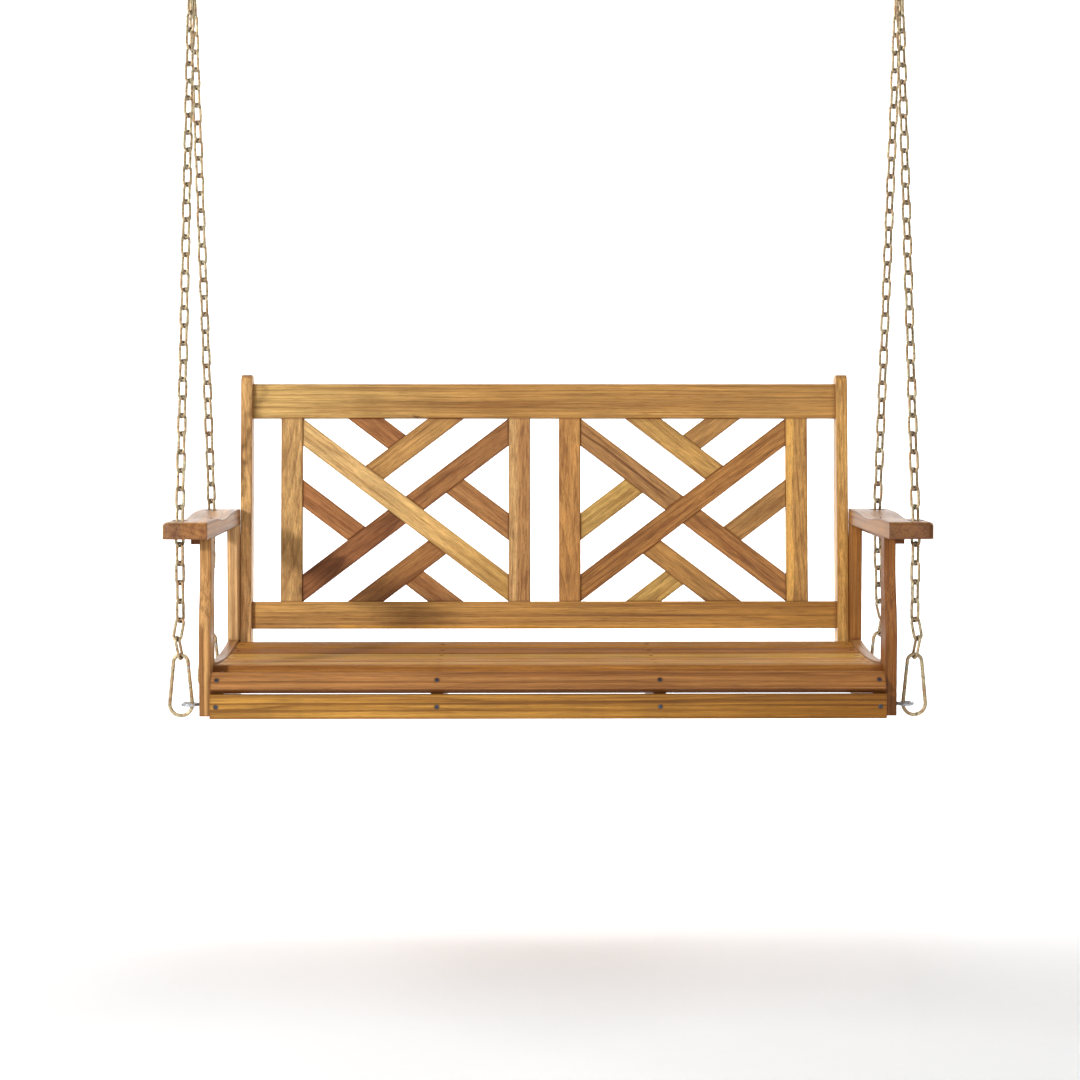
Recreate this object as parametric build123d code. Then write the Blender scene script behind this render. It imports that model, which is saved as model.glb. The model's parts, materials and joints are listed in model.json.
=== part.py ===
"""Porch swing seat hung from two ceiling hooks on four chains. Lengths are in millimetres.

The bench is drawn with x = 0 midway between its ends, y = 0 at the face of the apron and z = 0 at the
apron's lower edge. save() then moves every piece to the part's own frame: its origin lies on the ceiling,
midway between the two hooks. The front faces -Y. Pieces of the left end mirror those of the right end.
"""

from build123d import *
import os
from math import atan2, cos, degrees, radians, sin, sqrt, tan

# ---- driving dimensions ----

# where the bench hangs
HANG_X = 620.0
HANG_Y = 319.9
CEILING_Z = 1338.0
RING_Z = 1278.0

# seat
SEAT_HALF = 560.5
SLAT_THICK = 16.0
SLAT_WIDTH = 57.0
SLAT_GAP = 10.0
SLAT_COUNT = 6
SLAT_FIRST_Y = 54.0
EDGE = 2.0
SLAT_EDGE = 2.5
SEAT_LOW_Y = 247.0
SEAT_LOW_Z = 75.0
SEAT_RADIUS = 2060.0
APRON_HEIGHT = 40.5
NOSE_LOW = (5.5, 50.0)
NOSE_WIDTH = 34.0
NOSE_TILT = 51.6
RAIL_THICK = 21.0
RAIL_LOW_Z = 8.0
MID_RAIL_X = 185.0
CROSS_RAIL_Y = 448.0
CROSS_RAIL_TOP = 66.0
CORNER_BLOCK = (40.0, 22.0, 30.0)
CORNER_REBATE = (30.0, 34.0)

# side frames
SIDE_THICK = 19.5
SIDE_LOW_Z = 2.0
BOARD_END_Z = 87.5
BOARD_DIP_Z = 76.0
BOARD_REAR_Y = 500.0
POST_REAR_Y = 79.0
REAR_POST_Y = 442.0
REAR_POST_DEPTH = 46.0
ARM_LOW_Z = 298.0
ARM_THICK = 28.0
ARM_WIDTH = 75.0
ARM_FRONT_Y = -9.0
ARM_REAR_Y = 488.0
ARM_SCOOP = 7.0
ARM_SCOOP_Y = (90.0, 413.0)
ARM_HOLE_R = 14.0
ARM_CORNER = 12.0
ARM_ROUND = 7.0
CLEAT_SIZE = (14.5, 438.0, 11.0)
CLEAT_FRONT_Y = 46.0
CLEAT_SCREW_Y = (81.0, 265.0, 409.0)

# back, drawn upright and then leaned back
BACK_TILT = 6.1
BACK_FOOT_Y = 454.8
BACK_POST_DEPTH = 46.0
BACK_POST_TOP = 577.0
BACK_RAIL_THICK = 24.0
TOP_RAIL = (496.5, 63.5)
LOWER_RAIL = (107.0, 50.0)
TENON = 12.0
STILE_THICK = 20.0
STILE_WIDTH = 40.0
STILE_INNER_X = 26.5
STILE_OUTER_X = 447.0
STRIP_WIDTH = 40.0
STRIP_GAP = 50.2
STRIP_THICK = 14.0
STRIP_BEVEL = 1.0

# chains, hooks and rings
SNAP_X = 613.5
ARM_CHAIN_X = {"front": 613.5, "rear": 606.0}
CHAIN_Y = {"front": 50.0, "rear": 437.0}
CHAIN_WIRE_R = 2.5
LINK_HALF_WIDTH = 10.0
LINKS_BELOW_ARM = 7
LINKS_ABOVE_ARM = 31
SLACK = 0.5
KINK = 6.0
FIRST_TURN = 16.0
LINK_TURN = 10.0
MOST_TURN = 45.0
SNAP_LOW_Z = 0.2
SNAP_WIRE_R = 3.2
SNAP_BIG_R = 18.8
SNAP_SMALL_R = 12.0
SNAP_SPAN = 70.6
GATE_R = 3.1
GATE_LOW = 16.5
GATE_PIVOT = 60.5
GATE_SLOT = 1.4
TONGUE = 1.1
RIVET_R = 1.2
RIVET_PLAY = 0.05
EYE_WIRE_R = 3.0
EYE_R = 12.0
EYE_X = 598.5
EYE_Z = 19.0
RING_WIRE_R = 3.5
RING_R = 22.0
HOOK_WIRE_R = 4.0
HOOK_R = 14.0
HOOK_NECK_R = 8.0
STUD_R = 5.0

# fasteners
SCREW_R = 1.9
SCREW_HEAD_R = 3.7
SCREW_LENGTH = 34.0
BOLT_R = 3.0
BOLT_HEAD_R = 6.5
FRAME_BOLTS = ((478.0, 30.0), (482.0, 66.0), (479.0, 150.0))
WASHER = (9.0, 1.5)
NUT = (5.6, 5.0)

RIGHT_ANGLE = 90

PIECES = {}


# ---- helpers ----


def save(name, *solids):
    """Keep a node's solids in the part's own frame."""
    move = Pos(0, -HANG_Y, -CEILING_Z)
    PIECES[name] = [move * solid for shape in solids for solid in shape.solids()]


def save_pair(name, solid):
    """Keep the piece of the right end and its mirror image at the left end."""
    save(f"{name}_right", solid)
    save(f"{name}_left", mirror(solid, Plane.YZ))


def save_group(name, solids):
    """Keep a group of solids of the right end and the mirrored group at the left end."""
    save(f"{name}_right", *solids)
    save(f"{name}_left", *[mirror(solid, Plane.YZ) for solid in solids])


def both_ends(solid):
    """The piece of the right end together with its mirror image."""
    return [solid, mirror(solid, Plane.YZ)]


def side_board(outline, x_low, x_high):
    """A board with its outline in the YZ plane, from x_low to x_high."""
    return Pos(x_low, 0, 0) * extrude(Plane.YZ * outline, x_high - x_low)


def outline_of(*corners):
    """A flat face with these corners."""
    return make_face(Polyline(*corners, close=True))


def block(x, y, z):
    """A box between two values on each axis."""
    size = (x[1] - x[0], y[1] - y[0], z[1] - z[0])
    low_corner = Pos(x[0], y[0], z[0])
    return low_corner * Box(*size, align=(Align.MIN, Align.MIN, Align.MIN))


def rod(radius, start, end):
    """A round rod from one point to another."""
    axis = Vector(*end) - Vector(*start)
    plane = Plane(origin=start, z_dir=axis)
    return plane * Cylinder(radius, axis.length, align=(Align.CENTER, Align.CENTER, Align.MIN))


def outline_edges(board):
    """The edges of a board's two broad faces."""
    return [edge for edge in board.edges() if abs((edge @ 1 - edge @ 0).X) < 1]


def hollow_disc(radius, hole_r, start, end):
    """A washer between two points on its axis."""
    return rod(radius, start, end) - rod(hole_r, start, end)


def arc_height(y, low_y, low_z, radius):
    """Height of a sagging circular arc."""
    return low_z + radius - sqrt(radius**2 - (y - low_y) ** 2)


# ---- seat ----


def slat_lines():
    """Front and rear point of each flat slat's underside."""
    lines = []
    for number in range(SLAT_COUNT):
        front = SLAT_FIRST_Y + number * (SLAT_WIDTH + SLAT_GAP)
        ends = []
        for y in (front, front + SLAT_WIDTH):
            z = arc_height(y, SEAT_LOW_Y, SEAT_LOW_Z - SLAT_THICK, SEAT_RADIUS)
            ends.append((y, z))
        lines.append(ends)
    return lines


def screw(foot, direction):
    """A cross-recessed countersunk screw. foot is the middle of its head's top, direction points out."""
    tip = SCREW_LENGTH - 5
    profile = [(0, 0), (SCREW_HEAD_R, 0), (SCREW_HEAD_R, -0.6), (SCREW_R, -2.6)]
    profile += [(SCREW_R, -tip), (0, -SCREW_LENGTH)]
    body = revolve(Plane.XZ * outline_of(*profile), Axis.Z)
    for turn in (0, RIGHT_ANGLE):
        body -= Rot(0, 0, turn) * Pos(0, 0, -0.6) * Box(4.2, 0.9, 1.8)
    return Plane(origin=foot, z_dir=direction) * body


def screw_room(foot, direction):
    """The countersunk hole that one screw sits in, a little wider than the screw all round."""
    play = 0.15
    top_r = SCREW_HEAD_R + 2 * play
    profile = [(0, 3), (top_r, 3), (top_r, -0.6 - play), (SCREW_R + play, -2.6 - 2 * play)]
    profile += [(SCREW_R + play, -SCREW_LENGTH), (0, -SCREW_LENGTH)]
    return Plane(origin=foot, z_dir=direction) * revolve(Plane.XZ * outline_of(*profile), Axis.Z)


def slat(start, tilt, width):
    """A seat slat whose underside starts at start and rises at tilt degrees."""
    corner = (Align.MIN, Align.MIN)
    section = RectangleRounded(width, SLAT_THICK, SLAT_EDGE, align=corner)
    return side_board(Pos(*start) * Rot(0, 0, tilt) * section, -SEAT_HALF, SEAT_HALF)


def seat():
    """Eight slats and the screws that hold them."""
    screws = []
    screw_xs = (-SEAT_HALF + RAIL_THICK / 2, -MID_RAIL_X, MID_RAIL_X, SEAT_HALF - RAIL_THICK / 2)
    sink = 1.0

    def fix(board, middle, outward):
        """Screw a slat down along its middle line; outward is the direction of the heads."""
        for x in screw_xs:
            foot = (x, middle[0] - sink * outward[0], middle[1] - sink * outward[1])
            direction = (0, *outward)
            board -= screw_room(foot, direction)
            screws.append(screw(foot, direction))
        return board

    for number, (front, rear) in enumerate(slat_lines()):
        tilt = degrees(atan2(rear[1] - front[1], rear[0] - front[0]))
        outward = (-sin(radians(tilt)), cos(radians(tilt)))
        middle_y = (front[0] + rear[0]) / 2 + SLAT_THICK * outward[0]
        middle_z = (front[1] + rear[1]) / 2 + SLAT_THICK * outward[1]
        board = slat(front, tilt, SLAT_WIDTH)
        save(f"seat_slat_{number + 1}", fix(board, (middle_y, middle_z), outward))

    rise = (cos(radians(NOSE_TILT)), sin(radians(NOSE_TILT)))
    outward = (-rise[1], rise[0])
    under = (NOSE_LOW[0] - SLAT_THICK * outward[0], NOSE_LOW[1] - SLAT_THICK * outward[1])
    middle = (NOSE_LOW[0] + NOSE_WIDTH / 2 * rise[0], NOSE_LOW[1] + NOSE_WIDTH / 2 * rise[1])
    save("seat_nose_slat", fix(slat(under, NOSE_TILT, NOSE_WIDTH), middle, outward))

    apron = slat((SLAT_THICK, 0), RIGHT_ANGLE, APRON_HEIGHT)
    save("seat_apron", fix(apron, (0, APRON_HEIGHT / 2), (-1, 0)))
    save("slat_screws", *screws)


def rail_top():
    """The line on which the slats lie, from the apron to the last slat."""
    rise = (cos(radians(NOSE_TILT)), sin(radians(NOSE_TILT)))
    low = (NOSE_LOW[0] + SLAT_THICK * rise[1], NOSE_LOW[1] - SLAT_THICK * rise[0])
    shoulder_z = low[1] - (low[0] - SLAT_THICK) * tan(radians(NOSE_TILT))
    high = (low[0] + NOSE_WIDTH * rise[0], low[1] + NOSE_WIDTH * rise[1])
    points = [(SLAT_THICK, shoulder_z), high]
    for front, rear in slat_lines():
        points += [front, rear]
    return points


def back_face_y(z):
    """Where the front face of the leaning back posts is at height z."""
    return BACK_FOOT_Y + z * tan(radians(BACK_TILT))


def seat_frame():
    """Rails, cross rail and corner blocks under the slats."""
    top = rail_top()
    start = (SLAT_THICK, RAIL_LOW_Z)
    last_z = top[-1][1]
    end_outline = outline_of(
        start, *top, (back_face_y(last_z), last_z), (back_face_y(RAIL_LOW_Z), RAIL_LOW_Z)
    )
    end_rail = side_board(end_outline, SEAT_HALF - RAIL_THICK, SEAT_HALF)
    for y in CHAIN_Y.values():
        end_rail -= eye_bolt_hole(y)
    save_pair("seat_end_rail", end_rail)

    mid_outline = outline_of(start, *top, (CROSS_RAIL_Y, last_z), (CROSS_RAIL_Y, RAIL_LOW_Z))
    half = RAIL_THICK / 2
    save_pair("seat_mid_rail", side_board(mid_outline, MID_RAIL_X - half, MID_RAIL_X + half))

    inner = SEAT_HALF - RAIL_THICK
    cross = block((-inner, inner), (CROSS_RAIL_Y, CROSS_RAIL_Y + RAIL_THICK), (RAIL_LOW_Z, CROSS_RAIL_TOP))
    save("seat_cross_rail", cross)

    length, depth, height = CORNER_BLOCK
    corner = block(
        (inner - length, inner), (SLAT_THICK, SLAT_THICK + depth), (RAIL_LOW_Z, RAIL_LOW_Z + height)
    )
    rebate_y, rebate_z = CORNER_REBATE
    corner -= block((inner - length, inner), (rebate_y, 60), (rebate_z, 60))
    save("corner_blocks", *both_ends(corner))


# ---- side frames ----


def eye_bolt_hole(y):
    """The hole for one eye bolt, through everything between the chain and the seat."""
    return rod(EYE_WIRE_R + 0.25, (SEAT_HALF - 60, y, EYE_Z), (EYE_X, y, EYE_Z))


def side_boards():
    """The boards that close the ends of the seat."""
    middle = ((POST_REAR_Y + REAR_POST_Y) / 2, BOARD_DIP_Z)
    ends = [(POST_REAR_Y, BOARD_END_Z), (REAR_POST_Y, BOARD_END_Z)]
    rear = [(BOARD_REAR_Y, BOARD_END_Z), (BOARD_REAR_Y, 30), (BOARD_REAR_Y - 28, SIDE_LOW_Z)]
    foot = (POST_REAR_Y, SIDE_LOW_Z)
    edges = [ThreePointArc(ends[0], middle, ends[1])]
    edges.append(Polyline(ends[1], *rear, foot, ends[0]))
    board = side_board(make_face(Curve() + edges), SEAT_HALF, SEAT_HALF + SIDE_THICK)
    board = fillet(board.edges().filter_by(GeomType.CIRCLE), EDGE)
    board -= eye_bolt_hole(CHAIN_Y["rear"])
    for y, z in FRAME_BOLTS:
        board -= bolt_room(y, z)
    save_pair("side_board", board)


def front_post_outline():
    """A front arm post: deep at the foot, narrower under the armrest, with an ogee between."""
    foot_y, head_y = 21.0, 45.0
    low_z, high_z = 128.0, 262.0
    swell = Spline(
        (foot_y, low_z),
        ((foot_y + head_y) / 2, (low_z + high_z) / 2),
        (head_y, high_z),
        tangents=((0, 1), (0, 1)),
    )
    rest = Polyline(
        (head_y, high_z),
        (head_y, ARM_LOW_Z),
        (POST_REAR_Y, ARM_LOW_Z),
        (POST_REAR_Y, SIDE_LOW_Z),
        (foot_y, SIDE_LOW_Z),
        (foot_y, low_z),
    )
    return make_face(Curve() + [swell, rest])


def arm_posts():
    """Front and rear posts that carry the armrests."""
    x = (SEAT_HALF, SEAT_HALF + SIDE_THICK)
    front = side_board(front_post_outline(), *x)
    forward = [edge for edge in outline_edges(front) if edge.center().Y < POST_REAR_Y - 20]
    front = fillet([edge for edge in forward if SIDE_LOW_Z < edge.center().Z < ARM_LOW_Z], EDGE)
    front -= eye_bolt_hole(CHAIN_Y["front"])
    save_pair("front_arm_post", front)

    rear = block(x, (REAR_POST_Y, REAR_POST_Y + REAR_POST_DEPTH), (BOARD_END_Z, ARM_LOW_Z))
    rear = fillet(rear.edges().filter_by(Axis.Z), EDGE)
    for y, z in FRAME_BOLTS:
        rear -= bolt_room(y, z)
    save_pair("rear_arm_post", rear)


def arm_outline():
    """An armrest seen from the side: flat ends and a shallow scoop made of four equal arcs."""
    top = ARM_LOW_Z + ARM_THICK
    start, end = ARM_SCOOP_Y
    quarter = (end - start) / 4
    radius = ((2 * quarter) ** 2 + ARM_SCOOP**2) / (4 * ARM_SCOOP)
    sag = radius - sqrt(radius**2 - (quarter / 2) ** 2)
    half = ARM_SCOOP / 2
    y = [start + quarter * step / 2 for step in range(9)]
    arcs = [
        ThreePointArc((y[0], top), (y[1], top - sag), (y[2], top - half)),
        ThreePointArc((y[2], top - half), (y[4], top - ARM_SCOOP), (y[6], top - half)),
        ThreePointArc((y[6], top - half), (y[7], top - sag), (y[8], top)),
    ]
    rest = Polyline(
        (end, top),
        (ARM_REAR_Y, top),
        (ARM_REAR_Y, ARM_LOW_Z),
        (ARM_FRONT_Y, ARM_LOW_Z),
        (ARM_FRONT_Y, top),
        (start, top),
    )
    return make_face(Curve() + arcs + [rest])


def armrests():
    """Armrests with two chain holes each, the cleats under them and the screws between."""
    arm = side_board(arm_outline(), SEAT_HALF, SEAT_HALF + ARM_WIDTH)
    arm = fillet(arm.edges().filter_by(Axis.Z).group_by(Axis.X)[-1], ARM_CORNER)
    outer_x = SEAT_HALF + ARM_WIDTH - ARM_CORNER
    middle_z = ARM_LOW_Z + ARM_THICK / 2
    rim = [edge for edge in arm.edges() if edge.center().X > outer_x and edge.center().Z > middle_z + 5]
    arm = fillet(rim, ARM_ROUND)
    for place, chain_y in CHAIN_Y.items():
        bend, above = chain_joints(place)[LINKS_BELOW_ARM : LINKS_BELOW_ARM + 2]
        slope = (above.Y - bend.Y) / (above.Z - bend.Z)
        drift = slope * (ARM_LOW_Z + ARM_THICK - bend.Z) / 2
        arm -= Pos(ARM_CHAIN_X[place], chain_y + drift, ARM_LOW_Z) * Cylinder(ARM_HOLE_R, 4 * ARM_THICK)

    width, length, height = CLEAT_SIZE
    low_x = SEAT_HALF + SIDE_THICK
    span_y = (CLEAT_FRONT_Y, CLEAT_FRONT_Y + length)
    cleat = block((low_x, low_x + width), span_y, (ARM_LOW_Z - height, ARM_LOW_Z))
    screws = []
    for y in CLEAT_SCREW_Y:
        foot = (low_x + width / 2, y, ARM_LOW_Z - height + 1)
        cleat -= screw_room(foot, (0, 0, -1))
        arm -= rod(SCREW_R, foot, (foot[0], y, ARM_LOW_Z - height + SCREW_LENGTH + 1))
        screws.append(screw(foot, (0, 0, -1)))
    save_pair("armrest", arm)
    save("arm_cleats", *both_ends(cleat))
    return screws


# ---- back ----


def lean(solid):
    """Tip a piece of the back that was drawn upright."""
    return Pos(0, BACK_FOOT_Y, 0) * Rot(-BACK_TILT, 0, 0) * solid


def back_frame():
    """Posts, rails and stiles. Upright heights run along the leaning posts."""
    inner = SEAT_HALF - RAIL_THICK
    top_corner = 16.0
    outline = Pos(0, -60) * Rectangle(BACK_POST_DEPTH, BACK_POST_TOP + 60, align=(Align.MIN, Align.MIN))
    outline = fillet(outline.vertices().group_by(Axis.Y)[-1], top_corner)
    post = side_board(outline, inner, SEAT_HALF)
    post = fillet(post.edges().filter_by(Axis.Z).group_by(Axis.Y)[0], EDGE)
    rail_y = (BACK_POST_DEPTH - BACK_RAIL_THICK) / 2
    for low, height in (LOWER_RAIL, TOP_RAIL):
        mortise = ((inner, inner + TENON + 0.5), (rail_y + 4, rail_y + BACK_RAIL_THICK - 4))
        post -= block(*mortise, (low + 8, low + height - 8))
    post = lean(post) - block((0, 700), (0, 700), (-200, SIDE_LOW_Z))
    for y, z in FRAME_BOLTS:
        post -= bolt_room(y, z)
    save_pair("back_post", post)

    stile_y = (BACK_POST_DEPTH - STILE_THICK) / 2
    stile_low = LOWER_RAIL[0] + LOWER_RAIL[1]
    stile_high = TOP_RAIL[0]
    stile_spans = []
    for low_x in (STILE_INNER_X, STILE_OUTER_X):
        stile_spans += [(low_x, low_x + STILE_WIDTH), (-low_x - STILE_WIDTH, -low_x)]
    stub = 8.0

    for name, (low, height) in {"back_lower_rail": LOWER_RAIL, "back_top_rail": TOP_RAIL}.items():
        section = RectangleRounded(BACK_RAIL_THICK, height, 3, align=(Align.MIN, Align.MIN))
        rail = side_board(Pos(rail_y, low) * section, -inner, inner)
        tongue = ((rail_y + 4, rail_y + BACK_RAIL_THICK - 4), (low + 8, low + height - 8))
        rail += block((-inner - TENON, inner + TENON), *tongue)
        for span in stile_spans:
            slot = ((span[0] + 5, span[1] - 5), (stile_y + 5, stile_y + STILE_THICK - 5))
            rail -= block(*slot, (stile_low - stub, stile_high + stub))
        save(name, lean(rail))

    names = ("right_inner", "left_inner", "right_outer", "left_outer")
    for name, span in zip(names, stile_spans):
        stile = block(span, (stile_y, stile_y + STILE_THICK), (stile_low, stile_high))
        stile = fillet(stile.edges().filter_by(Axis.Z), EDGE)
        tongue = ((span[0] + 5, span[1] - 5), (stile_y + 5, stile_y + STILE_THICK - 5))
        stile += block(*tongue, (stile_low - stub, stile_high + stub))
        save(f"back_stile_{name}", lean(stile))


def lattice():
    """The strips of one panel, cut where they meet, and their mirror image in the other panel.

    Strips run two ways. A long diagonal falls from the top outer corner to the lower inner one, and the
    others stand off it or cross it at equal spacing.
    """
    width = STILE_OUTER_X - STILE_INNER_X - STILE_WIDTH
    low = LOWER_RAIL[0] + LOWER_RAIL[1]
    height = TOP_RAIL[0] - low
    slope = diagonal_slope(width, height)
    spacing = STRIP_WIDTH + STRIP_GAP
    reach = 2 * (width + height)
    panel = Rectangle(width, height)

    def band(side, offset):
        """An endless strip: side -1 falls to the right, +1 rises to the right."""
        return Rot(0, 0, side * slope) * Pos(0, offset) * Rectangle(reach, STRIP_WIDTH)

    def beyond(side, edge):
        """Everything on the far side of a band's edge."""
        way = 1 if edge > 0 else -1
        return Rot(0, 0, side * slope) * Pos(0, edge + way * reach / 2) * Rectangle(reach, reach)

    half = STRIP_WIDTH / 2
    strips = {
        "diagonal": [panel & band(-1, 0)],
        "cross": [panel & band(1, 0) & beyond(-1, way * half) for way in (1, -1)],
        "chevrons": [panel & band(1, way * spacing) & beyond(-1, way * half) for way in (1, -1)],
        "spurs": [],
    }
    for way in (1, -1):
        falling = panel & band(-1, way * spacing)
        strips["spurs"].append(falling & beyond(1, way * (spacing + half)))
        strips["spurs"].append(falling & beyond(1, -way * half))

    middle = ((STILE_INNER_X + STILE_WIDTH + STILE_OUTER_X) / 2, BACK_POST_DEPTH / 2, low + height / 2)
    for name, outlines in strips.items():
        boards = []
        for outline in outlines:
            board = extrude(Plane.XZ * outline, STRIP_THICK / 2, both=True)
            front = board.faces().sort_by(Axis.Y)[0]
            boards.append(chamfer(front.edges(), STRIP_BEVEL))
        left = [lean(Pos(-middle[0], middle[1], middle[2]) * board) for board in boards]
        save(f"lattice_{name}_left", *left)
        save(f"lattice_{name}_right", *[mirror(board, Plane.YZ) for board in left])


def diagonal_slope(width, height):
    """Angle at which a strip's two edges run through opposite corners of the panel."""
    angle = atan2(height, width)
    for _ in range(50):
        angle = atan2(height - STRIP_WIDTH / cos(angle), width)
    return degrees(angle)


# ---- fasteners of the frame ----

def bolt_room(y, z):
    """Hole and head recess of one frame bolt."""
    outer = SEAT_HALF + SIDE_THICK
    hole = rod(BOLT_R + 0.2, (SEAT_HALF - 18, y, z), (outer + 20, y, z))
    return hole + rod(BOLT_HEAD_R + 0.3, (outer - 3.5, y, z), (outer + 20, y, z))


def frame_bolts():
    """Cap bolts with a hexagon socket."""
    outer = SEAT_HALF + SIDE_THICK
    bolts = []
    for y, z in FRAME_BOLTS:
        bolt = rod(BOLT_R, (SEAT_HALF - 17, y, z), (outer - 2, y, z))
        bolt += rod(BOLT_HEAD_R, (outer - 3.4, y, z), (outer - 0.4, y, z))
        socket = Plane(origin=(outer - 2.8, y, z), z_dir=(1, 0, 0)) * extrude(RegularPolygon(2.6, 6), 5)
        bolts += both_ends(bolt - socket)
    save("frame_bolts", *bolts)


# ---- chains, hooks and rings ----


def half_ring(radius, wire_r):
    """Half of a round ring: it rises from the x axis to z = radius."""
    section = Plane.XY * Pos(-radius, 0) * Circle(wire_r)
    return revolve(section, Axis.Y, 180)


def chain_link(pitch):
    """A welded link in the XZ plane, centred, long in Z."""
    bend_r = LINK_HALF_WIDTH - CHAIN_WIRE_R
    straight = pitch / 2 + SLACK / 2 + CHAIN_WIRE_R - bend_r
    end = Pos(0, 0, straight) * half_ring(bend_r, CHAIN_WIRE_R)
    link = end + mirror(end, Plane.XY)
    for x in (-bend_r, bend_r):
        link += rod(CHAIN_WIRE_R, (x, 0, -straight), (x, 0, straight))
    return link


def chain_joints(place):
    """The points where one chain's links meet, from its snap hook up to the hanging ring.

    The two lowest links are slack and lean outwards. The others rise straight into the armrest, bend
    there at a joint and run on straight to the ring. The pitch is found by halving, so that whole
    numbers of links fit below and above the bend.
    """
    chain_y = CHAIN_Y[place]
    half_gap = CHAIN_WIRE_R + SLACK / 2
    snap_top = SNAP_LOW_Z + SNAP_BIG_R + SNAP_SPAN + SNAP_SMALL_R
    foot = Vector(SNAP_X, chain_y, snap_top - SNAP_WIRE_R - SLACK / 2)
    ring = Vector(HANG_X, HANG_Y, RING_Z)
    ring_reach = RING_R - RING_WIRE_R - SLACK / 2
    across = SNAP_X - ARM_CHAIN_X[place]

    def bend_point(pitch):
        below = (LINKS_BELOW_ARM - 2) * pitch + 2 * sqrt(pitch**2 - KINK**2)
        return Vector(ARM_CHAIN_X[place], chain_y, foot.Z + sqrt(below**2 - across**2))

    low, high = 4 * half_gap, LINK_HALF_WIDTH * 8
    for _ in range(60):
        pitch = (low + high) / 2
        if (ring - bend_point(pitch)).length > LINKS_ABOVE_ARM * pitch + ring_reach:
            low = pitch
        else:
            high = pitch

    bend = bend_point(pitch)
    rising = (bend - foot).normalized()
    outward = Vector(rising.Z, 0, -rising.X)
    knee = sqrt(pitch**2 - KINK**2)
    leaning = (ring - bend).normalized()
    joints = [foot, foot + rising * knee + outward * KINK]
    joints += [foot + rising * (2 * knee + pitch * step) for step in range(LINKS_BELOW_ARM - 1)]
    joints += [bend + leaning * (pitch * step) for step in range(1, LINKS_ABOVE_ARM + 1)]
    return joints


def link_turn(number, count):
    """How far a link is turned about the chain: links alternate, and twist slowly away from both ends."""
    from_end = min(number, count - 1 - number)
    return RIGHT_ANGLE * (number + 1) + min(FIRST_TURN + from_end * LINK_TURN, MOST_TURN)


def chains():
    """One front and one rear chain at each end."""
    for place in CHAIN_Y:
        joints = chain_joints(place)
        model = chain_link((joints[1] - joints[0]).length)
        links = []
        for number, (start, end) in enumerate(zip(joints, joints[1:])):
            way = (end - start).normalized()
            plane = Plane(origin=(start + end) / 2, x_dir=(way.Z, 0, -way.X), z_dir=way)
            links.append(plane * Rot(0, 0, link_turn(number, len(joints) - 1)) * model)
        save_group(f"chain_{place}", links)


def snap_line():
    """The straight inner side of a snap hook: its lower point, its direction and its lean in degrees."""
    lean_angle = atan2(SNAP_BIG_R - SNAP_SMALL_R, sqrt(SNAP_SPAN**2 - (SNAP_BIG_R - SNAP_SMALL_R) ** 2))
    low = Vector(-SNAP_BIG_R * cos(lean_angle), 0, SNAP_BIG_R * sin(lean_angle))
    return low, Vector(sin(lean_angle), 0, cos(lean_angle)), degrees(lean_angle)


def snap_frame():
    """The bent wire of a snap hook in the XZ plane; z = 0 is the middle of its wide end."""
    low, way, lean_deg = snap_line()
    side = sqrt(SNAP_SPAN**2 - (SNAP_BIG_R - SNAP_SMALL_R) ** 2)
    high = low + way * side
    right_low = Vector(-low.X, 0, low.Z)
    right_high = Vector(-high.X, 0, high.Z)
    nose = low + way * GATE_LOW
    shoulder = low + way * (GATE_PIVOT + GATE_R + 0.5)
    path = Curve() + [
        Line(nose, low),
        ThreePointArc(low, (0, 0, -SNAP_BIG_R), right_low),
        Line(right_low, right_high),
        ThreePointArc(right_high, (0, 0, SNAP_SPAN + SNAP_SMALL_R), high),
        Line(high, shoulder),
    ]
    wire = sweep(Plane(origin=nose, z_dir=-way) * Circle(SNAP_WIRE_R), path=path)
    axis = Location((low.X, 0, low.Z), (0, lean_deg, 0))
    base = (Align.CENTER, Align.CENTER, Align.MIN)
    tab_height = GATE_R + 1.5
    tab = Pos(0, 0, GATE_PIVOT) * Box(2 * GATE_R - 1, 2 * TONGUE, tab_height, align=base)
    tab += Pos(0, 0, GATE_PIVOT) * Rot(RIGHT_ANGLE, 0, 0) * Cylinder(GATE_R - 0.5, 2 * TONGUE)
    tab -= Pos(0, 0, GATE_PIVOT) * Rot(RIGHT_ANGLE, 0, 0) * Cylinder(RIVET_R, 4 * TONGUE)
    tongue = Pos(0, 0, GATE_LOW - 1) * Box(GATE_R * 1.5, 2 * TONGUE, 4.2, align=base)
    return wire + axis * tab + axis * tongue


def gate():
    """A snap hook's gate: a round bar, forked at its rivet and slotted over the hook's nose."""
    low, _, lean_deg = snap_line()
    play = 0.4
    length = GATE_PIVOT - GATE_LOW - play
    base = (Align.CENTER, Align.CENTER, Align.MIN)
    bar = Pos(0, 0, -length) * Cylinder(GATE_R, length, align=base)
    bar += Rot(RIGHT_ANGLE, 0, 0) * Cylinder(GATE_R, 2 * GATE_R) & Cylinder(GATE_R, 4 * GATE_R)
    bar -= Pos(0, 0, -GATE_R - 0.4) * Box(4 * GATE_R, 2 * GATE_SLOT, 20, align=base)
    bar -= Pos(0, 0, -length - 1) * Box(4 * GATE_R, 2 * GATE_SLOT, 5.0, align=base)
    bar -= Rot(RIGHT_ANGLE, 0, 0) * Cylinder(RIVET_R + RIVET_PLAY, 4 * GATE_R)
    pivot = Location((low.X, 0, low.Z), (0, lean_deg, 0)) * Pos(0, 0, GATE_PIVOT)
    return pivot * bar


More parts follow.
